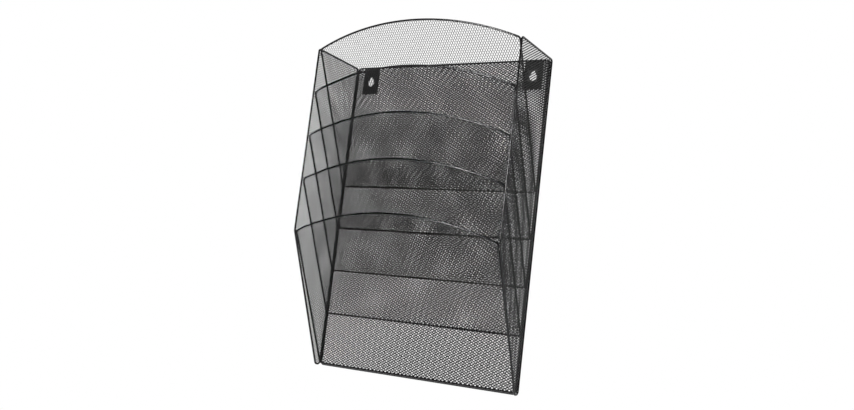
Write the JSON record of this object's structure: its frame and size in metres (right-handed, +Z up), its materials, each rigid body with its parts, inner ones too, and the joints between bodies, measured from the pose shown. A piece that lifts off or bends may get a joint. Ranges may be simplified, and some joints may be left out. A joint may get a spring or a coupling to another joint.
{
  "type": "wall literature rack",
  "caption": "Black wall rack with stepped, sloping mesh pockets between mesh sides, each panel framed in bent wire, hung on screws through teardrop keyholes.",
  "frame": {"origin": "on the wall plane, midway between the two screws that the rack hangs on, at the height where their shanks rest in the necks of the keyholes", "axes": "+X to the right as seen from the room, +Y into the wall, +Z up"},
  "size_m": [0.3594, 0.1309, 0.5332],
  "materials": {
    "painted_wire": "satin black powder coat on bent steel wire",
    "painted_mesh": "satin black powder coat on expanded steel mesh",
    "painted_plate": "satin black powder coat on punched steel plate"
  },
  "bodies": {
    "root": {"back_frame_wire": "painted_wire", "back_mesh": "painted_mesh", "left_side_frame_wire": "painted_wire", "left_side_mesh": "painted_mesh", "right_side_frame_wire": "painted_wire", "right_side_mesh": "painted_mesh", "pocket_1_rim_wire": "painted_wire", "pocket_1_mesh": "painted_mesh", "pocket_2_rim_wire": "painted_wire", "pocket_2_mesh": "painted_mesh", "pocket_3_rim_wire": "painted_wire", "pocket_3_mesh": "painted_mesh", "pocket_4_rim_wire": "painted_wire", "pocket_4_mesh": "painted_mesh", "pocket_5_rim_wire": "painted_wire", "pocket_5_mesh": "painted_mesh", "left_hanger_plate": "painted_plate", "right_hanger_plate": "painted_plate"}
  },
  "joints": []
}
